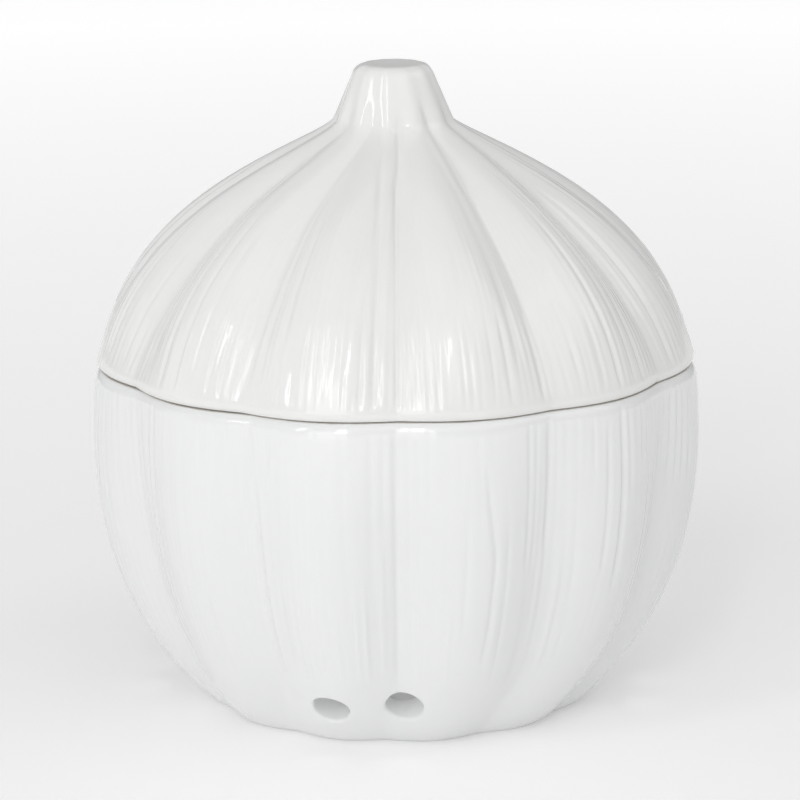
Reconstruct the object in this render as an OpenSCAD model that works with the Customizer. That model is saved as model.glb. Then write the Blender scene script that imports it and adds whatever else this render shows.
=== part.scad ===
// Garlic keeper: a round ceramic pot with a lift-off lid, shaped like a bulb of garlic.
// Twelve cloves run up the pot and on over the lid to a short stem that serves as the knob.
// Pairs of vent holes go through the wall of the pot just above its foot.
// Frame: origin at the middle of the foot, on the surface the pot stands on.
// +Z runs up the axis, and the first pair of vent holes faces -Y.

/* [Cloves] */
// Number of cloves around the body
cloves = 12; // [8:1:16]
// Sharpness of the furrows between cloves, lower is sharper
furrow_shape = 1.3; // [0.9:0.05:2]
// Furrow depth at the seam between pot and lid, mm
furrow_seam = 1.7; // [0.6:0.1:2.2]
// Extra furrow depth halfway up the pot, mm
furrow_pot = 2.4; // [0:0.1:2.8]
// Extra furrow depth over the dome, as a share of its radius
furrow_dome = 0.088; // [0:0.002:0.1]

/* [Pot] */
// Largest radius of the pot, over the cloves
belly_r = 65; // [60:0.5:75]
// Height of the belly above the foot
belly_h = 61.5; // [56:0.5:64]
// Height of the pot to its rim
pot_h = 73; // [70:0.5:80]
// Radius of the foot, over the cloves
foot_r = 40; // [34:0.5:44]
// Rounding of the foot's edge
foot_round = 0.8; // [0.4:0.1:1.5]
// Fullness of the pot's curve near the foot
pot_full = 2.42; // [2:0.02:3]
// Inward lean of the wall from the belly to the rim
rim_lean = 0.9; // [0:0.1:1.5]
// Wall thickness of the pot under the furrows at its rim
wall = 4.2; // [3:0.1:5]
// Share of the furrows' depth that the inside makes room for
wall_room = 0.85; // [0.6:0.05:1]
// Thickness of the floor above the hollow of the foot
floor_t = 5; // [4:0.5:7]
// Rounding of the rim's outer edge
rim_round = 1.5; // [0.5:0.1:2]

/* [Foot] */
// Radius of the hollow under the foot
foot_hollow_r = 31; // [22:0.5:33]
// Depth of the hollow under the foot
foot_hollow_h = 1.6; // [0.5:0.1:2]

/* [Vents] */
// Diameter of each vent hole
vent_d = 7.6; // [5:0.1:8.5]
// Height of the vent holes' centres above the foot
vent_z = 10.4; // [10:0.1:14]
// Angle of the left hole of a pair, from the front towards the right
vent_left = -16.5; // [-25:0.5:-12]
// Angle of the right hole of a pair
vent_right = 3; // [0:0.5:12]
// Number of pairs around the pot
vent_pairs = 4; // [1:1:6]

/* [Lid] */
// Inset of the lid's lower edge from the pot's rim
lid_inset = 0.2; // [0:0.1:1]
// Height at which the dome would close
dome_h = 50; // [46:0.5:54]
// Fullness of the dome, lower is fuller
dome_full = 0.915; // [0.85:0.005:1]
// Radius of the stem's top
stem_r = 7.8; // [6:0.1:10]
// Rounding of the stem's top edge
stem_round = 1.8; // [0.8:0.1:2.5]
// Spread of the stem for each millimetre downwards
stem_spread = 0.42; // [0.3:0.01:0.5]
// Height of the stem's top above the lid's lower edge
lid_h = 61.5; // [58:0.5:66]
// Wall thickness of the lid under its furrows
lid_wall = 3.3; // [2.5:0.1:4.5]
// Rounding of the lid's lower edge
lid_round = 1.6; // [0.5:0.1:2]
// Gap between the rim of the pot and the lid
seat_gap = 0.3; // [0.2:0.05:0.5]

/* [Locating ring] */
// Clearance all round between the ring under the lid and the mouth of the pot
ring_play = 1.5; // [0.8:0.1:2.5]
// Thickness of the ring
ring_t = 4; // [3:0.5:5]
// Depth of the ring below the lid's lower edge
ring_h = 6; // [4:0.5:9]

/* [Hidden] */

// Steps of the outer skin along one clove
clove_steps = 10;
round_n = cloves * clove_steps;
lid_z = pot_h + seat_gap;
mouth_r = belly_r - rim_lean - furrow_seam - wall + 0.1;
ring_r = mouth_r - ring_play;
// Radius of the dome alone, before it blends with the stem
lid_r = belly_r - rim_lean - lid_inset;
dome_r = pow(pow(lid_r, 1.75) - pow(stem(0), 1.75), 1 / 1.75);

// 0 at the bottom of a furrow, 1 on the crest of a clove
function clove(a) = pow(abs(sin(cloves / 2 * a)), furrow_shape);

// Crest radius of the pot's outside at height z
function pot_curve(z) =
    let (t = max(0, 1 - max(z, 0) / belly_h))
    foot_r + (belly_r - foot_r) * pow(1 - pow(t, pot_full), 0.9);
function pot_crest(z) =
    pot_curve(z) - rim_lean * pow(max(0, z - belly_h + 6) / (pot_h - belly_h + 6), 2);
function edge_in(d, e) = d >= e ? 0 : e - sqrt(max(0, e * e - (e - d) * (e - d)));
function pot_outer(z) =
    pot_crest(z) - edge_in(max(pot_h - z, 0), rim_round) - 0.5 * edge_in(max(z, 0), foot_round);
function pot_furrow(z) = furrow_seam + furrow_pot * sin(180 * min(max(z / pot_h, 0), 1));

// Inner radius of the pot: the outside, less the furrow, less the wall measured square to it
function pot_slope(z) = (pot_crest(z + 0.5) - pot_crest(z - 0.5));
function pot_inner(z) =
    min(mouth_r, pot_crest(z) - wall_room * pot_furrow(z) - wall * sqrt(1 + pow(pot_slope(z), 2)));

// Crest radius of the lid's outside at height z above its lower edge
function dome(z) = dome_r * pow(1 - pow(min(max(z, 0) / dome_h, 1), 2.5), dome_full);
function stem(z) = stem_r + stem_spread * (lid_h - z);
function lid_crest(z) = pow(pow(dome(z), 1.75) + pow(stem(z), 1.75), 1 / 1.75);
function lid_outer(z) =
    lid_crest(z) - edge_in(max(z, 0), lid_round) - edge_in(max(lid_h - z, 0), stem_round);
function lid_furrow(z) =
    lid_crest(z) * (furrow_seam / (belly_r - rim_lean)
        + furrow_dome * sin(180 * pow(min(max(z / (lid_h - 6.5), 0), 1), 1.4)));

// Closed skin through rings of [z, crest radius, furrow depth]
module clove_skin(rings) {
    m = len(rings);
    n = round_n;
    pts = concat(
        [for (q = rings) for (i = [0 : n - 1])
            let (a = 360 * i / n, r = q[1] - q[2] * (1 - clove(a)))
            [r * cos(a), r * sin(a), q[0]]],
        [[0, 0, rings[0][0]], [0, 0, rings[m - 1][0]]]);
    sides = [for (j = [0 : m - 2]) for (i = [0 : n - 1]) let (k = (i + 1) % n)
        each [[j * n + i, (j + 1) * n + i, (j + 1) * n + k],
              [j * n + i, (j + 1) * n + k, j * n + k]]];
    ends = [for (i = [0 : n - 1]) let (k = (i + 1) % n)
        each [[m * n, i, k], [m * n + 1, (m - 1) * n + k, (m - 1) * n + i]]];
    polyhedron(points = pts, faces = concat(sides, ends), convexity = 6);
}

// Heights of the skin's rings, closer together at the rounded edges
pot_heights = concat([0, foot_round * 0.35, foot_round, 2.5, 4.5],
    [for (i = [1 : 11]) 4.5 + (pot_h - rim_round - 8 - 4.5) * i / 11],
    [for (d = [rim_round + 3, rim_round, rim_round * 0.5, rim_round * 0.18, 0]) pot_h - d]);
lid_heights = concat([0, lid_round * 0.18, lid_round * 0.5, lid_round, lid_round + 3],
    [for (i = [1 : 20]) lid_round + 3 + (lid_h - lid_round - 3 - stem_round) * i / 20],
    [for (d = [0.55, 0.2, 0]) lid_h - stem_round * d]);

pot_rings = concat([[-2, pot_outer(0), pot_furrow(0)]],
    [for (z = pot_heights) [z, pot_outer(z), pot_furrow(z)]],
    [[pot_h + 2, pot_outer(pot_h), pot_furrow(pot_h)]]);
lid_rings = concat([[-2, lid_outer(0), lid_furrow(0)]],
    [for (z = lid_heights) [z, lid_outer(z), lid_furrow(z)]],
    [[lid_h + 2, lid_outer(lid_h), lid_furrow(lid_h)]]);

// Hollow of the pot, as a half section
floor_z = foot_hollow_h + floor_t;
module pot_hollow() {
    zs = [for (i = [0 : 16]) floor_z + 2.2 + (belly_h - 8 - floor_z) * i / 16];
    rotate_extrude($fn = 120)
        polygon(concat(
            [[0, floor_z], [pot_inner(floor_z + 2.2) - 6, floor_z],
             [pot_inner(floor_z + 2.2) - 2.6, floor_z + 0.6]],
            [for (z = zs) [pot_inner(z), z]],
            [[mouth_r, belly_h + 2], [mouth_r, pot_h - 0.8], [mouth_r + 0.8, pot_h],
             [mouth_r + 0.8, pot_h + 3], [0, pot_h + 3]]));
}

module pot() {
    color([0.91, 0.925, 0.92])
    difference() {
        intersection() {
            clove_skin(pot_rings);
            cylinder(r = belly_r + 20, h = pot_h, $fn = 120);
        }
        pot_hollow();
        // hollow under the foot
        translate([0, 0, -1]) cylinder(r = foot_hollow_r, h = foot_hollow_h + 1, $fn = 120);
        // vents, drilled level towards the axis
        for (i = [0 : vent_pairs - 1]) for (a = [vent_left, vent_right])
            rotate([0, 0, a + 360 * i / vent_pairs]) translate([0, 0, vent_z]) rotate([90, 0, 0])
                translate([0, 0, foot_r - 7]) cylinder(d = vent_d, h = 30, $fn = 48);
    }
}

// Hollow of the lid, as a half section above its lower edge: the bottoms of the furrows,
// moved inwards square to them by the wall
function lid_low(z) = lid_crest(z) - lid_furrow(z);
function lid_slope(z) = lid_low(z + 0.5) - lid_low(z - 0.5);
function lid_inside(z) =
    let (d = lid_slope(z), q = sqrt(1 + d * d))
    [lid_low(z) - lid_wall / q, z + lid_wall * d / q];
module lid_hollow() {
    ri = ring_r - ring_t;
    top = lid_inside(dome_h - 6);
    rotate_extrude($fn = 120)
        polygon(concat(
            [[0, -ring_h - 3], [ri, -ring_h - 3], [ri, 3.2]],
            [for (i = [0 : 15]) lid_inside(7 + (dome_h - 13) * sin(90 * i / 15))],
            [[top[0] - 5, top[1] + 1.4], [top[0] - 11, top[1] + 2], [0, top[1] + 2.2]]));
}

module lid() {
    color([0.905, 0.905, 0.895])
    translate([0, 0, lid_z])
    difference() {
        union() {
            intersection() {
                clove_skin(lid_rings);
                cylinder(r = belly_r + 20, h = lid_h, $fn = 120);
            }
            // locating ring
            translate([0, 0, -ring_h]) rotate_extrude($fn = 120)
                polygon([[ring_r - ring_t - 1, 0], [ring_r - 0.8, 0], [ring_r, 0.8],
                         [ring_r, ring_h + 2], [ring_r - ring_t - 1, ring_h + 2]]);
        }
        lid_hollow();
    }
}

pot();
lid();
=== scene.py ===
import math

import bpy
import numpy as np
from mathutils import Matrix, Vector


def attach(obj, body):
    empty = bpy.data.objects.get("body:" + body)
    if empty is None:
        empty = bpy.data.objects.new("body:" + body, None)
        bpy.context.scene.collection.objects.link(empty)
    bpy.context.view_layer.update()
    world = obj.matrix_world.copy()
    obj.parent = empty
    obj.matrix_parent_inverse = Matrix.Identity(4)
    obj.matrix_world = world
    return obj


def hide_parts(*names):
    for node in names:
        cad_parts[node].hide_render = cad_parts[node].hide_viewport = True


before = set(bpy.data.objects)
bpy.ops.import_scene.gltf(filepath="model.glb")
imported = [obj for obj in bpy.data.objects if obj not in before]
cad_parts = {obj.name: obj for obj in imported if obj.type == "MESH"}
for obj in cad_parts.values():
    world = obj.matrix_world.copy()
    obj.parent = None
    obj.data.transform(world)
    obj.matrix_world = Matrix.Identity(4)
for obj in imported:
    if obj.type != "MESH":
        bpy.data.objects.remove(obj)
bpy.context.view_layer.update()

# A round pot and its lift-off lid, both shaped like a bulb of garlic, in white glazed ceramic.
# Shapes are worked out in millimetres and angles in degrees. Angle 0 is the front, -Y, and
# angles grow towards +X. The meshes are turned into metres when they are made.

# ---------------------------------------------------------------- camera
def look():
    tilt = math.asin(0.2241)
    c, s = math.cos(tilt), math.sin(tilt)
    aim = Vector((0, 0, 0.0731))
    away = 0.8344
    focal = 3949.7
    roll = 0.0088
    r0, u0, f0 = Vector((1, 0, 0)), Vector((0, s, c)), Vector((0, c, -s))
    rc = r0 * math.cos(roll) - u0 * math.sin(roll)
    uc = r0 * math.sin(roll) + u0 * math.cos(roll)
    # aim falls at pixel (395.45, 352.76) of 800 x 800
    f = (f0 * focal + rc * (400 - 395.45) + uc * (352.76 - 400)).normalized()
    right = (rc - f * rc.dot(f)).normalized()
    up = right.cross(f)
    cam = bpy.data.cameras.new("camera")
    cam.sensor_fit = "HORIZONTAL"
    cam.sensor_width = 36.0
    cam.lens = focal / 800 * 36.0
    cam.clip_start, cam.clip_end = 0.05, 50
    ob = bpy.data.objects.new("camera", cam)
    bpy.context.scene.collection.objects.link(ob)
    m = Matrix.Identity(4)
    for i in range(3):
        m[i][0], m[i][1], m[i][2] = right[i], up[i], -f[i]
    place = aim - f0 * away
    m[0][3], m[1][3], m[2][3] = place
    ob.matrix_world = m
    bpy.context.scene.camera = ob


look()

# ---------------------------------------------------------------- outlines, as in the frame
POT_H, LID_Z, LID_H = 73.0, 73.3, 61.5
BELLY_R, BELLY_H, FOOT_R, WALL = 65.0, 61.5, 40.0, 4.2
MOUTH_R, RING_R, RING_IN, RING_H = 58.3, 56.8, 52.8, 6.0
VENT_R, VENT_TILT, VENTS = 3.8, 35.0, ((-16.5, 9.1), (1.5, 10.2))
LID_R = 63.9


def edge_in(d, e):
    d = np.clip(d, 0, e)
    return e - np.sqrt(np.maximum(0, e * e - (e - d) ** 2))


def smooth(x, a, b):
    t = np.clip((x - a) / (b - a), 0, 1)
    return t * t * (3 - 2 * t)


def pot_crest(z):
    t = np.clip(1 - np.maximum(z, 0) / BELLY_H, 0, 1)
    r = FOOT_R + (BELLY_R - FOOT_R) * (1 - t ** 2.42) ** 0.9
    return r - 0.9 * (np.maximum(0, z - BELLY_H + 6) / (POT_H - BELLY_H + 6)) ** 2


def pot_furrow(z):
    return 1.7 + 2.4 * np.sin(np.pi * np.clip(z / POT_H, 0, 1))


def pot_inner(z):
    slope = pot_crest(z + 0.5) - pot_crest(z - 0.5)
    return np.minimum(MOUTH_R, pot_crest(z) - 0.85 * pot_furrow(z) - WALL * np.sqrt(1 + slope ** 2))


def stem(z):
    return 7.8 + 0.42 * (LID_H - z)


DOME_R = (LID_R ** 1.75 - stem(0) ** 1.75) ** (1 / 1.75)


def dome(z):
    return DOME_R * (1 - np.clip(np.maximum(z, 0) / 50, 0, 1) ** 2.5) ** 0.915


def lid_crest(z):
    return (dome(z) ** 1.75 + stem(z) ** 1.75) ** (1 / 1.75)


def lid_furrow(z):
    return lid_crest(z) * (1.7 / 64.1 + 0.088 * np.sin(np.pi * np.clip(z / (LID_H - 6.5), 0, 1) ** 1.4))


def lid_inside(z):
    """The bottoms of the lid's furrows, moved inwards square to them by the wall: r, z."""
    low = lambda h: lid_crest(h) - lid_furrow(h)
    d = low(z + 0.5) - low(z - 0.5)
    q = np.sqrt(1 + d * d)
    return low(z) - 3.3 / q, z + 3.3 * d / q


# ---------------------------------------------------------------- ribs and folds
# Each mark is a path of (z, angle) points from its bottom to its top, its height in mm (a groove
# is below 0), its half width in mm, and its skew (one flank steeper than the other).
rng = np.random.default_rng(12)


def straight(rows):
    """Marks that run straight up: angle, lowest z, highest z, height and, if it isn't 0.5, half width."""
    return [([(r[1], r[0]), (r[2], r[0])], r[3], r[4] if len(r) > 4 else 0.5, 0.0) for r in rows]


# folds of the lid's front, z above its lower edge
LID_FOLDS = straight([
    (-73.5, 5, 30, -0.36), (-71.5, 5, 28, -0.26), (-65, 5, 26, -0.13), (-62, 5, 26, -0.13),
    (-57.5, 4, 40, -0.22, 0.8), (-54.5, 4, 36, -0.16, 0.6), (-49.3, 3, 32, -0.36), (-45, 3, 34, -0.32),
    (-41, 5, 32, -0.26), (-26.5, 5, 36, -0.32), (-22.8, 12, 36, -0.32), (-6.8, 4, 26, -0.26, 0.4),
    (15, 14, 30, -0.16), (18.5, 4, 18, -0.26), (21.5, 4, 18, -0.26), (24.4, 10, 46, -0.28, 0.95),
    (42, 4, 18, -0.26), (45.5, 4, 35, -0.34), (48, 35, 42, -0.28), (50, 3, 40, -0.38), (53.2, 3, 36, -0.36, 0.7),
    (57, 4, 34, -0.16, 0.8), (65.5, 4, 36, -0.28), (73, 30, 42, -0.26), (77, 20, 46, -0.28, 0.95),
]) + [
    ([(3, -4.2), (26, -4.5), (40, -5.8), (46, -7.2)], -0.44, 0.8, 0.2),
    ([(3, 0.1), (40, 0.5), (43, 2.0), (49, 3.6)], -0.40, 0.45, 0.0),
    ([(4, -2.0), (38, -2.3)], 0.14, 0.9, 0.0),
    ([(3, 28.7), (41, 29.7), (46, 33.2), (50, 38.0), (55, 33.0)], -0.44, 0.85, 0.0),
]
LID_RIBS = [-38, -35.5, -33.5, -32, -31, -24.5, -21, -17.8, -16.3, -14.3, -13, -11.3, -9.3, -8.3,
            -5.6, 1.6, 2.8, 4, 5.2, 6.8, 8.2, 11, 12, 15.8]
# folds of the pot's front, z above its foot
POT_FOLDS = straight([
    (-74, 52, 71, -0.28, 0.9), (-69.5, 45, 68, -0.14), (-45, 40, 66, -0.09), (-41.5, 36, 66, -0.09),
    (-39, 18, 36, -0.14), (-28.5, 58, 68, -0.14), (-27, 18, 58, -0.28), (-24, 20, 55, -0.12, 1.5),
    (-21.5, 20, 50, -0.10, 0.6), (-24, 60, 68, -0.14), (-17, 28, 64, -0.07), (-13, 28, 62, -0.07),
    (-9.5, 30, 64, -0.07), (-4.6, 18, 70, -0.14, 1.1), (-0.2, 18, 70.5, -0.30, 0.65),
    (12.5, 30, 55, -0.15), (20.5, 18, 50, -0.17), (24.8, 42, 71.5, -0.26, 0.6), (26.4, 42, 71.5, -0.22, 0.6),
    (26.5, 15, 45, -0.20, 1.4), (29.3, 45, 71.5, -0.38, 0.75), (38.5, 60, 70, -0.18), (41.5, 38, 67, -0.28),
    (45, 35, 71.5, -0.40, 0.7), (47, 55, 70, -0.18), (51, 60, 71.5, -0.22), (53, 60, 71.5, -0.22),
    (55.5, 20, 71, -0.16, 1.4), (64, 52, 71, -0.26, 0.6), (66.5, 52, 71, -0.26, 0.6), (68.5, 52, 71, -0.26, 0.6), (71, 52, 71, -0.26, 0.6),
]) + [
    ([(30, -55.0), (71, -53.2)], -0.30, 0.8, 0.0),
    ([(30, -51.6), (71, -51.0)], -0.26, 0.7, 0.0),
    ([(22, 17.4), (45, 18.0), (62, 16.0)], -0.32, 0.5, 0.0),
]
POT_RIBS = [-19.4, -18, -15, -11.6, -8, -6.2, 2, 4.4, 10.2, 33, 35.4, 49, 57]

FURROWS = np.arange(-180.0, 180.0, 30.0)
# how far each furrow runs to the right of its even place, degrees
POT_SHIFT, LID_SHIFT = rng.uniform(-0.7, 0.7, 12), rng.uniform(-0.7, 0.7, 12)
for shift, front in ((POT_SHIFT, {-90: 0, -60: 2.5, -30: 2.5, 0: 0.2, 30: 0.2, 60: 0.8, 90: 0}),
                     (LID_SHIFT, {-90: 0, -60: 0, -30: 0, 0: 0.5, 30: 0.5, 60: 0.5, 90: 0})):
    for a, d in front.items():
        shift[int(a + 180) // 30] = d


def wild(z_low, z_high, span, ribs, folds, front, shifts, turn):
    """Marks for the sides and back, and fine ribs all round, closest together near the furrows."""
    out = list(folds)

    def add(at, lean, z0, z1, h, w, skew):
        zs = np.linspace(z0, min(z1, z_high), 5)
        t = (zs - z0) / max(zs[-1] - z0, 1)
        bend = turn(zs) if abs(at) > front else 0 * zs
        out.append((list(zip(zs, at + bend + lean * (t * t - 0.3))), h, w, skew))

    for f, d in zip(FURROWS, shifts):
        for side in (-1, 1):
            a = 1.2
            while a < 14.0:
                a += rng.uniform(1.25, 2.0)
                at = (f + d + side * a + 180) % 360 - 180
                near = math.exp(-((a - 2) / 7.5) ** 2)
                z0 = z_low + rng.uniform(0, 4)
                z1 = z0 + span * rng.uniform(0.25, 0.6) * (0.45 + 0.75 * near)
                h = rng.uniform(0.05, 0.11) * (0.45 + 0.75 * near)
                lean = rng.normal(0, 0.5) - side * rng.uniform(0, 0.8)
                sign, w, skew, drawn = rng.choice([-1, 1]), rng.uniform(0.34, 0.55), rng.normal(0, 0.3), rng.uniform()
                if abs(at) > front or drawn < 0.4:
                    add(at, lean, z0, z1, h * sign, w, skew)
        # larger folds, away from the front
        for k in range(rng.integers(4, 7)):
            at = (f + d + rng.normal(0, 5.5) + 180) % 360 - 180
            z0 = z_low + rng.uniform(0, 8)
            z1 = z0 + span * rng.uniform(0.35, 0.9)
            h = -rng.uniform(0.16, 0.38)
            lean = rng.normal(0, 0.9)
            w = rng.uniform(0.45, 0.8)
            if abs(at) > front:
                add(at, lean, z0, z1, h, w, rng.normal(0, 0.3))
    for a in ribs:
        z0 = z_low + rng.uniform(-0.5, 1.0)
        z1 = z0 + span * rng.uniform(0.26, 0.46)
        out.append(([(z0, a), (z1, a + rng.normal(0, 0.25))], rng.uniform(0.09, 0.14), rng.uniform(0.36, 0.46), 0.0))
    return out


def marks_at(m, a, z, r):
    """Height of all the marks at angles a, heights z and radii r, which are flat arrays."""
    out = np.zeros(a.shape)
    for path, h, w, skew in m:
        zs, at = [q[0] for q in path], [q[1] for q in path]
        fade = min(3.5, 0.35 * (zs[-1] - zs[0]))
        win = smooth(z, zs[0] - 0.5 * fade, zs[0] + 0.5 * fade) * (1 - smooth(z, zs[-1] - fade, zs[-1] + fade))
        u = ((a - np.interp(z, zs, at) + 180) % 360 - 180) * np.pi / 180 * r / w
        hit = (win > 0.003) & (np.abs(u) < 3.2)
        if hit.any():
            uu = u[hit]
            out[hit] += h * win[hit] * np.exp(-uu * uu) * (1 + skew * uu)
    return out


def waves(a, z, seed, size, tall):
    """Slow unevenness of hand-finished clay, periodic round the axis."""
    g = np.random.default_rng(seed)
    out = np.zeros(np.broadcast(a, z).shape)
    for k in range(1, 9):
        p, q = g.uniform(0, 360), g.uniform(0, 2 * np.pi)
        out = out + g.normal() / k ** 0.7 * np.cos(np.radians(k * a + p) + z / tall * g.uniform(-1.5, 1.5) + q)
    return out * size


def ribbing(seed, count, spread):
    """Three rows of fine upright ribbing, about count ribs round, a value for each fifth of a degree."""
    g = np.random.default_rng(seed)
    rows = []
    for _ in range(3):
        f = np.fft.rfft(g.normal(size=1800))
        f *= np.exp(-((np.arange(f.size) - count) / spread) ** 2)
        v = np.fft.irfft(f, 1800)
        rows.append(np.append(v, v[0]) / v.std())
    return rows


LID_RIBBING, POT_RIBBING = ribbing(41, 200, 70.0), ribbing(42, 165, 70.0)


def ribs_at(rows, a, z, tall):
    """The rows, blended so that the ribbing slowly changes upwards."""
    x = (a % 360) / 0.2
    out = np.zeros(np.shape(a))
    for k, v in enumerate(rows):
        out = out + np.interp(x, np.arange(1801), v) * np.cos(z / tall + 2.1 * k)
    return out / 1.22


def clove(a, power):
    c = np.abs(np.sin(np.radians(6 * a)))
    # the very bottom of the furrow is rounded by the glaze
    c = (np.sqrt(c * c + 0.05 ** 2) - 0.05) / (math.sqrt(1 + 0.05 ** 2) - 0.05)
    return np.clip(c, 0, 1) ** power


def turn_pot(z):
    """How far the furrows have swung round at height z, degrees."""
    return np.interp(z, [0, 5, 11, 18, 73], [-4.8, -3.8, -1.6, 0, 0])


def turn_lid(z):
    return np.interp(z, [0, 34, 38, 42, 46, 50, 54, 58, 62], [0, 0, 1.2, 3.0, 5.5, 8.4, 7.0, 4.5, 4.0])


def sway(a, shifts):
    """The furrows' own shifts, carried over evenly from each to the next."""
    out = np.zeros(np.shape(a))
    for f, d in zip(FURROWS, shifts):
        out += d * np.clip(1 - np.abs((a - f - d + 180) % 360 - 180) / 30.0, 0, 1)
    return out


LID_MARKS = wild(3.5, 50, 44, LID_RIBS, LID_FOLDS, 78, LID_SHIFT, turn_lid)
POT_MARKS = wild(18, 71.2, 52, POT_RIBS, POT_FOLDS, 80, POT_SHIFT, turn_pot)


def pot_r(a, z):
    """Outer radius of the pot."""
    crest = pot_crest(z) - edge_in(POT_H - z + 0.35, 2.6) - 0.5 * edge_in(z, 0.8)
    b = a - turn_pot(z)
    c = clove(b - sway(b, POT_SHIFT), 1.3)
    r = crest - 0.95 * pot_furrow(z) * (1 - c)
    fade = smooth(z, 4, 20) * (1 - smooth(z, 70.8, 72.4))
    d = marks_at(POT_MARKS, a, z, r) * fade
    fine = 0.014 + 0.012 * (1 - c) + 0.012 * smooth(z, 50, 68)
    d = d + ribs_at(POT_RIBBING, b, z, 16.0) * fine * smooth(z, 14, 30) * (1 - smooth(z, 70.5, 72.2))
    d = d + waves(a, z, 5, 0.045, 24) * smooth(z, 0, 6) * (1 - 0.6 * smooth(z, 64, 73))
    return r + d - 0.26 * smooth(z, 0, 12)


def lid_r(a, z):
    """Outer radius of the lid, z above its lower edge."""
    crest = lid_crest(z) - edge_in(z + 0.35, 2.6) - edge_in(LID_H - z, 1.8)
    b = a - turn_lid(z)
    c = clove(b - sway(b, LID_SHIFT) * (1 - smooth(z, 50, 60)), 1.1 + 0.2 * smooth(z, 34, 42) + 0.6 * smooth(z, 46, 54))
    r = crest - 0.95 * lid_furrow(z) * (1 - c)
    fade = smooth(z, 1.4, 4.5) * (1 - smooth(z, 50, 57))
    d = marks_at(LID_MARKS, a, z, np.maximum(r, 6)) * fade
    fine = (0.022 + 0.020 * (1 - c) + 0.026 * (1 - smooth(z, 12, 20))) * r / LID_R
    d = d + ribs_at(LID_RIBBING, b, z, 15.0) * fine * smooth(z, 1.6, 4.2) * (1 - smooth(z, 44, 54))
    d = d + waves(a, z, 9, 0.04, 24) * smooth(z, 1, 6) * (1 - 0.85 * smooth(z, 44, 54))
    return r + d - 0.06 * smooth(z, 0, 8)


# ---------------------------------------------------------------- mesh building
def xyz(a, r, z):
    t = np.radians(a)
    return np.stack([r * np.sin(t), -r * np.cos(t), np.broadcast_to(z, np.shape(r)) * 1.0], -1)


class Skin:
    """Rings of points, and the faces between them, of one closed piece."""

    def __init__(self):
        self.co, self.bare, self.faces, self.n = [], [], [], 0

    def add(self, p, bare=0.0):
        k = len(p)
        self.co.append(p)
        self.bare.append(np.broadcast_to(np.asarray(bare, float), (k,)).copy())
        ids = np.arange(self.n, self.n + k)
        self.n += k
        return ids

    def between(self, one, two, skip=None):
        n = len(one)
        i = np.arange(n)
        k = (i + 1) % n
        q = np.stack([one[i], one[k], two[k], two[i]], 1)
        if skip is not None:
            q = q[~skip]
        self.faces.extend(q.tolist())

    def thin(self, fine, coarse):
        """From a ring of many points to one of few."""
        s = len(fine) // len(coarse)
        n = len(coarse)
        for i in range(n):
            k = (i + 1) % n
            run = [int(fine[(i * s + j) % len(fine)]) for j in range(s + 1)]
            self.faces.append(run + [int(coarse[k]), int(coarse[i])])

    def dense(self, coarse, fine):
        """From a ring of few points to one of many."""
        s = len(fine) // len(coarse)
        n = len(coarse)
        for i in range(n):
            k = (i + 1) % n
            run = [int(fine[(i * s + j) % len(fine)]) for j in range(s, -1, -1)]
            self.faces.append([int(coarse[i]), int(coarse[k])] + run)

    def start(self, point, ring, bare=0.0):
        c = int(self.add(np.array([point], float), bare)[0])
        n = len(ring)
        self.faces.extend([[c, int(ring[(i + 1) % n]), int(ring[i])] for i in range(n)])

    def end(self, ring, point, bare=0.0):
        c = int(self.add(np.array([point], float), bare)[0])
        n = len(ring)
        self.faces.extend([[int(ring[i]), int(ring[(i + 1) % n]), c] for i in range(n)])

    def make(self, name, lift=0.0):
        co = np.concatenate(self.co)
        bare = np.concatenate(self.bare)
        used = np.zeros(self.n, bool)
        for f in self.faces:
            used[f] = True
        new = np.cumsum(used) - 1
        co = co[used]
        bare = bare[used]
        faces = [[int(new[v]) for v in f] for f in self.faces]
        co = co.copy()
        co[:, 2] += lift
        me = bpy.data.meshes.new(name)
        me.from_pydata((co * 0.001).tolist(), [], faces)
        me.update()
        at = me.attributes.new("bare", "FLOAT", "POINT")
        at.data.foreach_set("value", bare.astype(np.float32))
        me.polygons.foreach_set("use_smooth", np.ones(len(me.polygons), bool))
        ob = bpy.data.objects.new(name, me)
        bpy.context.scene.collection.objects.link(ob)
        return ob


N_OUT, N_IN = 1200, 400
A_OUT = (np.arange(N_OUT) * 360.0 / N_OUT)
A_IN = (np.arange(N_IN) * 360.0 / N_IN)


def wrap(a):
    return (a + 180) % 360 - 180


def window(a_all, centre, cols, j_low, j_high):
    """Loop of grid points round a vent, seen from outside: along the bottom to the right, up, back, down."""
    n = len(a_all)
    mid = int(round(centre / (360.0 / n)))
    col = [i % n for i in range(mid - cols // 2, mid + cols // 2 + 1)]
    loop = [(c, j_low) for c in col]
    loop += [(col[-1], j) for j in range(j_low + 1, j_high + 1)]
    loop += [(c, j_high) for c in col[-2::-1]]
    loop += [(col[0], j) for j in range(j_high - 1, j_low, -1)]
    return loop, col


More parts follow.
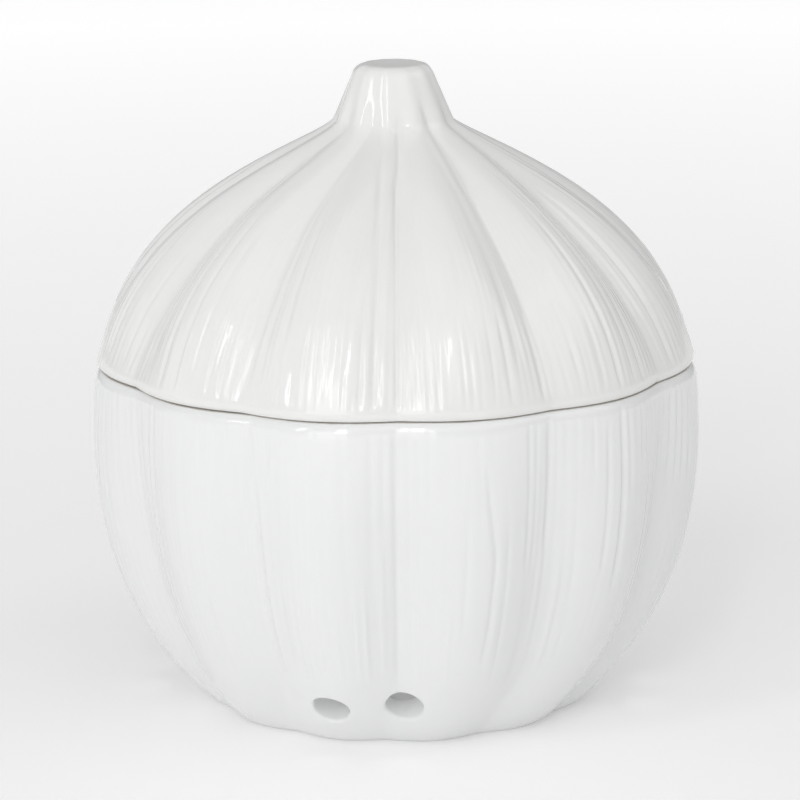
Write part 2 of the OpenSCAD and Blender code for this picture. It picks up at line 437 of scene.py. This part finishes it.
class Vent:
    """A vent's centre on the outside, and its axes: outwards along it, across it, and up square to both."""

    def __init__(self, angle, z):
        t, e = math.radians(angle), math.radians(VENT_TILT)
        out, up = np.array([math.sin(t), -math.cos(t), 0.0]), np.array([0.0, 0.0, 1.0])
        r = pot_crest(z) - pot_furrow(z) * (1 - abs(math.sin(6 * t)) ** 1.3)
        self.angle, self.z = angle, z
        self.centre = out * float(r) + up * z
        self.along = out * math.cos(e) - up * math.sin(e)
        self.across = np.array([math.cos(t), math.sin(t), 0.0])
        self.rise = out * math.sin(e) + up * math.cos(e)

    def turn_of(self, p):
        """Angle round the axis of points, in radians, running on without a jump."""
        q = p - self.centre
        turn = np.unwrap(np.arctan2(q @ self.rise, q @ self.across))
        return turn - 2 * np.pi * np.round((turn.mean() - np.pi / 4) / (2 * np.pi))

    def depth_of(self, p):
        return (p - self.centre) @ self.along

    def point(self, depth, rho, phi):
        return (self.centre + self.along * depth[:, None] + self.across * (rho * np.cos(phi))[:, None]
                + self.rise * (rho * np.sin(phi))[:, None])

    def on(self, surface, rho, phi, up=0.0):
        """Points of a surface that lie on a cylinder of radius rho round the axis: angle, z, radius."""
        s, t = rho * np.cos(phi), rho * np.sin(phi)
        a, z = self.angle + np.degrees(s / 47), self.z + up + 0.8 * t
        for _ in range(20):
            r = surface(wrap(a), z)
            q = xyz(a, r, z) - self.centre
            more = xyz(a, surface(wrap(a), z + 0.05), z + 0.05) - self.centre
            a = a + np.degrees((s - q @ self.across) / r)
            z = z + np.clip((t - q @ self.rise) / np.maximum((more - q) @ self.rise / 0.05, 0.8), -1.5, 1.5)
        return a, z, surface(wrap(a), z)


# ---------------------------------------------------------------- pot
def pot_inner_line():
    """Half section of the inside, from the floor's middle outwards and up: r, z."""
    zs = np.concatenate([np.linspace(8.8, 20, 12), np.linspace(22, 72.2, 15)])
    wall_r = pot_inner(zs)
    # floor and the bend into the wall
    r = [0, 12, 24, 31, 34.5, 36.6, 38.4, 39.8]
    z = [6.52, 6.53, 6.55, 6.6, 6.68, 6.9, 7.35, 8.0]
    return np.array(r + list(wall_r)), np.array(z + list(zs))


IN_R, IN_Z = pot_inner_line()
IN_V = np.concatenate([[0], np.cumsum(np.hypot(np.diff(IN_R), np.diff(IN_Z)))])


def pot_in_r(a, z):
    base = np.interp(z, IN_Z, IN_R)
    lobes = 0.45 * (clove(a, 1.6) - 0.6) * smooth(z, 9, 25) * (1 - smooth(z, 55, 68))
    return base + lobes


def build_pot():
    k = Skin()
    z_win = np.linspace(4.7, 16.3, 15)
    z_rows = np.concatenate([[0, 0.14, 0.42, 0.8, 1.3, 2.1, 3.3], z_win, np.linspace(16.3, 68.6, 25)[1:],
                             [69.9, 70.9, 71.5, 71.9, 72.25, 72.55, 72.78, 72.93, 73.0]])
    j_low, j_high = 7, 21
    sag = lambda a: waves(a, 0 * a, 21, 0.020, 10) + 0.045     # the rim isn't dead level

    def outer(a, z):
        return pot_r(wrap(a), z)

    # underneath: hollow, foot ring
    rings = []
    c0 = k.add(xyz(A_IN, np.full(N_IN, 8.0), 1.75))
    k.start((0, 0, 1.8), c0)
    last = c0
    for r, z, b in [(20, 1.68, 0), (28.2, 1.55, 0), (30.2, 1.4, 0.1), (31.0, 1.0, 0.5), (31.4, 0.5, 0.9), (31.9, 0.15, 1), (32.6, 0.0, 1), (35.2, 0.0, 1)]:
        ring = k.add(xyz(A_IN, np.full(N_IN, float(r)), z), b)
        k.between(last, ring)
        last = ring
    foot = outer(A_OUT, np.zeros(N_OUT))
    first = k.add(xyz(A_OUT, foot - 0.5, 0.0), 1.0)
    k.dense(last, first)
    # outside
    holes = [Vent(v + 90 * q, z) for q in range(4) for v, z in VENTS]
    grid = []
    for z in z_rows:
        zz = np.full(N_OUT, z)
        r = outer(A_OUT, zz)
        up = zz + sag(A_OUT) * smooth(zz, 66, 73)
        b = 0.0 if 0 < z < 20 else 0.3 if z == 0 else float(smooth(z, 72.8, 73.0))
        grid.append(k.add(xyz(A_OUT, r, up), b))
    k.between(first, grid[0])
    cols = 48
    wins = []
    skip = np.zeros(N_OUT, bool)
    for h in holes:
        loop, col = window(A_OUT, h.angle, cols, j_low, j_high)
        wins.append(loop)
        for c in col[:-1]:
            skip[c] = True
    for j in range(len(grid) - 1):
        k.between(grid[j], grid[j + 1], skip if j_low <= j < j_high else None)
    # rim
    edge = outer(A_OUT, np.full(N_OUT, POT_H))
    top = k.add(xyz(A_OUT, edge - 0.35, POT_H + 0.02 + sag(A_OUT)), 1.0)
    k.between(grid[-1], top)
    flat = k.add(xyz(A_IN, np.full(N_IN, 60.25), POT_H + 0.02 + sag(A_IN)), 1.0)
    k.thin(top, flat)
    last = flat
    for r, dz, b in [(59.6, 0.02, 1.0), (59.1, 0.0, 0.9), (58.75, -0.1, 0.5), (58.5, -0.32, 0.15), (58.36, -0.7, 0.0)]:
        ring = k.add(xyz(A_IN, np.full(N_IN, r), POT_H + dz + sag(A_IN)), b)
        k.between(last, ring)
        last = ring
    # inside, from the rim down to the floor
    rows = list(range(len(IN_Z) - 1, 0, -1))
    inner = {}
    for q in rows:
        z = IN_Z[q]
        r = pot_in_r(A_IN, np.full(N_IN, z))
        inner[q] = k.add(xyz(A_IN, r, z), 0.0)
    k.between(last, inner[rows[0]])
    q_low, q_high = 5, 18                   # 13 rows: the bend and the wall round each vent
    skip_in = np.zeros(N_IN, bool)
    wins_in = []
    for h in holes:
        loop, col = window(A_IN, h.angle, 18, q_low, q_high)
        wins_in.append(loop)
        for c in col[:-1]:
            skip_in[c] = True
    for a, b in zip(rows[:-1], rows[1:]):
        k.between(inner[a], inner[b], skip_in if q_low <= b < q_high else None)
    k.end(inner[1], (0, 0, IN_Z[0]))
    # vents
    f_out, f_in, r_in = 0.75, 0.4, 3.25
    for h, loop, loop_in in zip(holes, wins, wins_in):
        b_ids = np.array([grid[j][c] for c, j in loop])
        b_a = np.array([h.angle + wrap(A_OUT[c] - h.angle) for c, j in loop])
        b_z = np.array([z_rows[j] for c, j in loop])
        phi = h.turn_of(xyz(b_a, outer(b_a, b_z), b_z))
        l_a, l_z, _ = h.on(outer, VENT_R + f_out, phi)
        last = b_ids
        for w in (0.3, 0.6, 0.82, 1.0):
            a, z = b_a + (l_a - b_a) * w, b_z + (l_z - b_z) * w
            ring = k.add(xyz(a, outer(a, z), z), 0.0)
            k.between(last, ring)
            last = ring
        for al in (22.5, 45, 67.5, 90):
            a, z, r = h.on(outer, VENT_R + f_out * (1 - math.sin(math.radians(al))), phi)
            ring = k.add(xyz(a, r, z) - h.along * f_out * (1 - math.cos(math.radians(al))), 0.0)
            k.between(last, ring)
            last = ring
        # the inside's own loop
        c_ids = np.array([inner[j][c] for c, j in loop_in])
        c_a = np.array([h.angle + wrap(A_IN[c] - h.angle) for c, j in loop_in])
        c_v = np.array([IN_V[j] for c, j in loop_in])
        c_r, c_z = np.interp(c_v, IN_V, IN_R), np.interp(c_v, IN_V, IN_Z)
        m = len(c_ids)
        psi = h.turn_of(xyz(c_a, c_r, c_z))
        psi_fine = np.interp(np.arange(2 * m) / 2.0, np.arange(m + 1), np.append(psi, psi[0] + 2 * np.pi))

        def tube(ph, w):
            a, z, r = h.on(outer, VENT_R, ph)
            near = h.depth_of(xyz(a, r, z)) - f_out
            a, z, r = h.on(pot_in_r, r_in, ph, 3.5)
            far = h.depth_of(xyz(a, r, z)) + f_in
            return h.point(near * (1 - w) + far * w, VENT_R * (1 - w) + r_in * w, ph)

        for w in (0.2, 0.4, 0.6):
            ring = k.add(tube(phi + (psi_fine - phi) * (w / 0.6), w), 0.0)
            k.between(last, ring)
            last = ring
        ring = k.add(tube(psi, 0.8), 0.0)
        k.thin(last, ring)
        last = ring
        for al in (90, 45, 0):
            a, z, r = h.on(pot_in_r, r_in + f_in * (1 - math.sin(math.radians(al))), psi, 3.5)
            ring = k.add(xyz(a, r, z) + h.along * f_in * (1 - math.cos(math.radians(al))), 0.0)
            k.between(last, ring)
            last = ring
            l_a, l_z = a, z
        l_v = np.interp(l_z, IN_Z, IN_V)
        for w in (0.35, 0.7):
            a, v = l_a + (c_a - l_a) * w, l_v + (c_v - l_v) * w
            z = np.interp(v, IN_V, IN_Z)
            rr = np.interp(v, IN_V, IN_R) + pot_in_r(a, z) - np.interp(z, IN_Z, IN_R)
            ring = k.add(xyz(a, rr, z), 0.0)
            k.between(last, ring)
            last = ring
        k.between(last, c_ids)
    return k.make("pot_body")


# ---------------------------------------------------------------- lid
def build_lid():
    k = Skin()
    sag = lambda a: waves(a, 0 * a, 33, 0.020, 10) - 0.045

    def outer(a, z):
        return lid_r(wrap(a), z)

    # inside of the dome, from its top outwards and down
    u = np.linspace(90, 0, 26)
    rs, zs = lid_inside(7 + 37 * np.sin(np.radians(u)))
    top = zs[0] + 2.2
    head = [(4.0, top), (8.0, top - 0.2), (12.0, top - 0.6), (15.0, top - 1.15), (17.3, zs[0] + 0.6)]
    last = None
    for r, z in head + list(zip(rs, zs)):
        lob = 0.25 * (clove(A_IN, 1.6) - 0.6) * smooth(z, 5, 14) * (1 - smooth(z, 26, 36))
        ring = k.add(xyz(A_IN, r + lob, z), 0.0)
        if last is None:
            k.start((0, 0, top), ring)
        else:
            k.between(last, ring)
        last = ring
    # undercut, ring, its lower edge, up its outside, lid's flat lower edge
    for r, z, b in [(55.6, 4.6, 0), (54.6, 3.9, 0), (53.4, 3.4, 0), (52.85, 2.6, 0), (52.8, -2.0, 0), (52.8, -4.9, 0),
                    (52.95, -5.5, 0.2), (53.4, -5.9, 0.8), (54.0, -6.0, 1), (55.8, -6.0, 1), (56.35, -5.85, 0.8), (56.7, -5.45, 0.2),
                    (56.8, -4.9, 0), (56.8, -0.9, 0), (56.95, -0.35, 0.4), (57.4, -0.03, 1), (58.2, 0.0, 1), (59.9, 0.0, 1)]:
        lift = sag(A_IN) if z > -0.1 and r > 57 else 0.0
        ring = k.add(xyz(A_IN, np.full(N_IN, float(r)), z + lift), b)
        k.between(last, ring)
        last = ring
    z_rows = np.concatenate([[0, 0.08, 0.25, 0.5, 0.85, 1.3, 1.9, 2.7, 3.7], np.linspace(5, 46, 28)])
    edge = outer(A_OUT, np.zeros(N_OUT))
    first = k.add(xyz(A_OUT, edge - 0.4, sag(A_OUT)), 1.0)
    k.dense(last, first)
    last = first
    for z in z_rows:
        zz = np.full(N_OUT, z)
        ring = k.add(xyz(A_OUT, outer(A_OUT, zz), zz + sag(A_OUT) * (1 - smooth(zz, 0, 6))), 0.35 if z == 0 else 0.0)
        k.between(last, ring)
        last = ring
    # neck and stem, with fewer points round
    rows = np.concatenate([np.linspace(46.7, 59.6, 18), [60.1, 60.45, 60.75, 61.0, 61.2, 61.35, 61.45, 61.5]])
    for i, z in enumerate(rows):
        zz = np.full(N_IN, z)
        r = outer(A_IN, zz)
        ring = k.add(xyz(A_IN, r, zz), 0.0)
        if i == 0:
            k.thin(last, ring)
        else:
            k.between(last, ring)
        last = ring
    top = outer(A_IN, np.full(N_IN, LID_H))
    for s, dz in [(0.9, 0.0), (0.7, -0.02), (0.4, -0.05), (0.15, -0.06)]:
        ring = k.add(xyz(A_IN, top * s, LID_H + dz), 0.0)
        k.between(last, ring)
        last = ring
    k.end(last, (0, 0, LID_H - 0.06))
    return k.make("lid_body", LID_Z)


pot = build_pot()
lid = build_lid()


# ---------------------------------------------------------------- materials
class Nodes:
    def __init__(self, name):
        self.mat = bpy.data.materials.new(name)
        self.mat.use_nodes = True
        self.t = self.mat.node_tree
        self.t.nodes.clear()

    def new(self, kind, **values):
        n = self.t.nodes.new(kind)
        for key, v in values.items():
            if hasattr(n, key) and key not in n.inputs:
                setattr(n, key, v)
            else:
                n.inputs[key].default_value = v
        return n

    def link(self, a, b):
        self.t.links.new(a, b)


def ceramic(name, glaze, pool, clay):
    k = Nodes(name)
    out = k.new("ShaderNodeOutputMaterial")
    sh = k.new("ShaderNodeBsdfPrincipled")
    k.link(sh.outputs["BSDF"], out.inputs["Surface"])
    sh.inputs["IOR"].default_value = 1.52
    sh.inputs["Specular IOR Level"].default_value = 0.5
    co = k.new("ShaderNodeTexCoord").outputs["Object"]

    def noise(scale, detail, rough=0.5):
        n = k.new("ShaderNodeTexNoise")
        n.inputs["Scale"].default_value = scale
        n.inputs["Detail"].default_value = detail
        n.inputs["Roughness"].default_value = rough
        k.link(co, n.inputs["Vector"])
        return n.outputs["Fac"]

    def between(fac, a, b, low, high):
        m = k.new("ShaderNodeMapRange")
        m.inputs["From Min"].default_value = a
        m.inputs["From Max"].default_value = b
        m.inputs["To Min"].default_value = low
        m.inputs["To Max"].default_value = high
        k.link(fac, m.inputs["Value"])
        return m.outputs["Result"]

    def mix(fac, a, b):
        m = k.new("ShaderNodeMix")
        m.data_type = "RGBA"
        k.link(fac, m.inputs[0])
        for v, s in ((a, m.inputs[6]), (b, m.inputs[7])):
            if isinstance(v, tuple):
                s.default_value = (*v, 1)
            else:
                k.link(v, s)
        return m.outputs[2]

    def maths(op, a, b):
        m = k.new("ShaderNodeMath")
        m.operation = op
        for v, s in ((a, m.inputs[0]), (b, m.inputs[1])):
            if isinstance(v, (int, float)):
                s.default_value = v
            else:
                k.link(v, s)
        return m.outputs[0]

    # where the clay is left bare, with an uneven glaze line
    at = k.new("ShaderNodeAttribute")
    at.attribute_name = "bare"
    ragged = maths("ADD", at.outputs["Fac"], between(noise(260, 4, 0.6), 0.3, 0.7, -0.22, 0.22))
    bare = between(ragged, 0.40, 0.60, 0, 1)
    # the glaze: slow drift of its thickness, finer clouding
    slow = between(noise(34, 3, 0.55), 0.32, 0.68, 0, 1)
    fine = between(noise(420, 3, 0.6), 0.35, 0.65, 0, 1)
    tone = mix(slow, glaze, pool)
    tone = mix(maths("MULTIPLY", fine, 0.10), tone, tuple(c * 0.95 for c in glaze))
    grit = between(noise(2600, 3, 0.7), 0.38, 0.62, 0, 1)
    body = mix(grit, clay, tuple(c * 0.86 for c in clay))
    k.link(mix(bare, tone, body), sh.inputs["Base Color"])
    gloss = between(noise(90, 3, 0.6), 0.3, 0.7, 0.09, 0.15)
    rough = k.new("ShaderNodeMix")
    rough.data_type = "FLOAT"
    k.link(bare, rough.inputs[0])
    k.link(gloss, rough.inputs[2])
    k.link(between(noise(900, 2), 0.3, 0.7, 0.62, 0.8), rough.inputs[3])
    k.link(rough.outputs[0], sh.inputs["Roughness"])
    # ripple of the fired glaze, and the grit of bare clay
    b1 = k.new("ShaderNodeBump")
    b1.inputs["Strength"].default_value = 1.0
    b1.inputs["Distance"].default_value = 0.00003
    k.link(noise(190, 2, 0.5), b1.inputs["Height"])
    b2 = k.new("ShaderNodeBump")
    b2.inputs["Distance"].default_value = 0.00008
    k.link(bare, b2.inputs["Strength"])
    k.link(noise(2400, 4, 0.7), b2.inputs["Height"])
    k.link(b1.outputs["Normal"], b2.inputs["Normal"])
    k.link(b2.outputs["Normal"], sh.inputs["Normal"])
    return k.mat


POT_GLAZE = ceramic("pot_glaze", (0.845, 0.853, 0.849), (0.83, 0.838, 0.834), (0.62, 0.59, 0.55))
LID_GLAZE = ceramic("lid_glaze", (0.845, 0.845, 0.836), (0.83, 0.83, 0.819), (0.62, 0.59, 0.55))
for ob, mat, node, body, slot in ((pot, POT_GLAZE, "pot", "pot", "pot_glaze"), (lid, LID_GLAZE, "lid", "lid", "lid_glaze")):
    ob.data.materials.append(mat)
    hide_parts(node)
    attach(ob, body)


# ---------------------------------------------------------------- floor and light
def floor():
    me = bpy.data.meshes.new("floor")
    s = 6.0
    me.from_pydata([(-s, -s, 0), (s, -s, 0), (s, s, 0), (-s, s, 0)], [], [(0, 1, 2, 3)])
    ob = bpy.data.objects.new("floor", me)
    bpy.context.scene.collection.objects.link(ob)
    k = Nodes("floor_white")
    out = k.new("ShaderNodeOutputMaterial")
    sh = k.new("ShaderNodeBsdfPrincipled")
    sh.inputs["Base Color"].default_value = (0.86, 0.86, 0.86, 1)
    sh.inputs["Roughness"].default_value = 0.9
    sh.inputs["Specular IOR Level"].default_value = 0.0
    # a lit white table, brighter away from the object
    sh.inputs["Emission Color"].default_value = (1, 1, 1, 1)
    place = k.new("ShaderNodeTexCoord").outputs["Object"]
    far = k.new("ShaderNodeVectorMath")
    far.operation = "LENGTH"
    k.link(place, far.inputs[0])
    glow = k.new("ShaderNodeMapRange")
    for key, v in (("From Min", 0.15), ("From Max", 1.0), ("To Min", 0.18), ("To Max", 0.50)):
        glow.inputs[key].default_value = v
    k.link(far.outputs["Value"], glow.inputs["Value"])
    k.link(glow.outputs["Result"], sh.inputs["Emission Strength"])
    k.link(sh.outputs["BSDF"], out.inputs["Surface"])
    me.materials.append(k.mat)


def lamp(name, azimuth, elevation, away, wide, high, power, colour=(1, 1, 1), aim=(0, 0, 0.07)):
    a, e = math.radians(azimuth), math.radians(elevation)
    d = Vector((math.sin(a) * math.cos(e), -math.cos(a) * math.cos(e), math.sin(e)))
    li = bpy.data.lights.new(name, "AREA")
    li.shape = "RECTANGLE"
    li.size, li.size_y = wide, high
    li.energy = power
    li.color = colour
    ob = bpy.data.objects.new(name, li)
    ob.location = Vector(aim) + d * away
    ob.rotation_euler = (-d).to_track_quat("-Z", "Y").to_euler()
    bpy.context.scene.collection.objects.link(ob)
    return ob


floor()
lamp("strip_left", -48, 33, 1.6, 0.11, 0.85, 1.9)
lamp("strip_front", -9, 33, 1.6, 0.11, 0.85, 2.0)
lamp("softbox_front", -20, 12, 1.6, 0.9, 0.9, 4.7)
lamp("softbox_high", -13, 40, 1.6, 1.0, 1.0, 1.4)
lamp("softbox_top", 0, 85, 1.6, 1.4, 1.4, 3.0)
lamp("softbox_left", -90, 15, 1.6, 0.9, 0.9, 1.3)
lamp("softbox_right", 80, 50, 1.6, 1.0, 1.0, 2.6)
lamp("fill_right", 30, 45, 1.6, 1.0, 1.0, 1.4)
lamp("fill_left", -90, 50, 1.6, 1.0, 1.0, 0.5)
lamp("back_left", -140, 25, 1.6, 1.0, 1.0, 0.8)
lamp("back_right", 150, 35, 1.6, 1.0, 1.0, 0.6)
# what little light gets in through the glaze and the vents
lamp("inside", 0, 89, 0.05, 0.05, 0.05, 0.012, aim=(0, 0, 0.012))
world = bpy.data.worlds.new("studio")
world.use_nodes = True
bg = world.node_tree.nodes["Background"]
bg.inputs["Color"].default_value = (1, 1, 1, 1)
bg.inputs["Strength"].default_value = 0.365
bpy.context.scene.world = world
bpy.context.scene.view_settings.view_transform = "Standard"
bpy.context.scene.view_settings.look = "None"
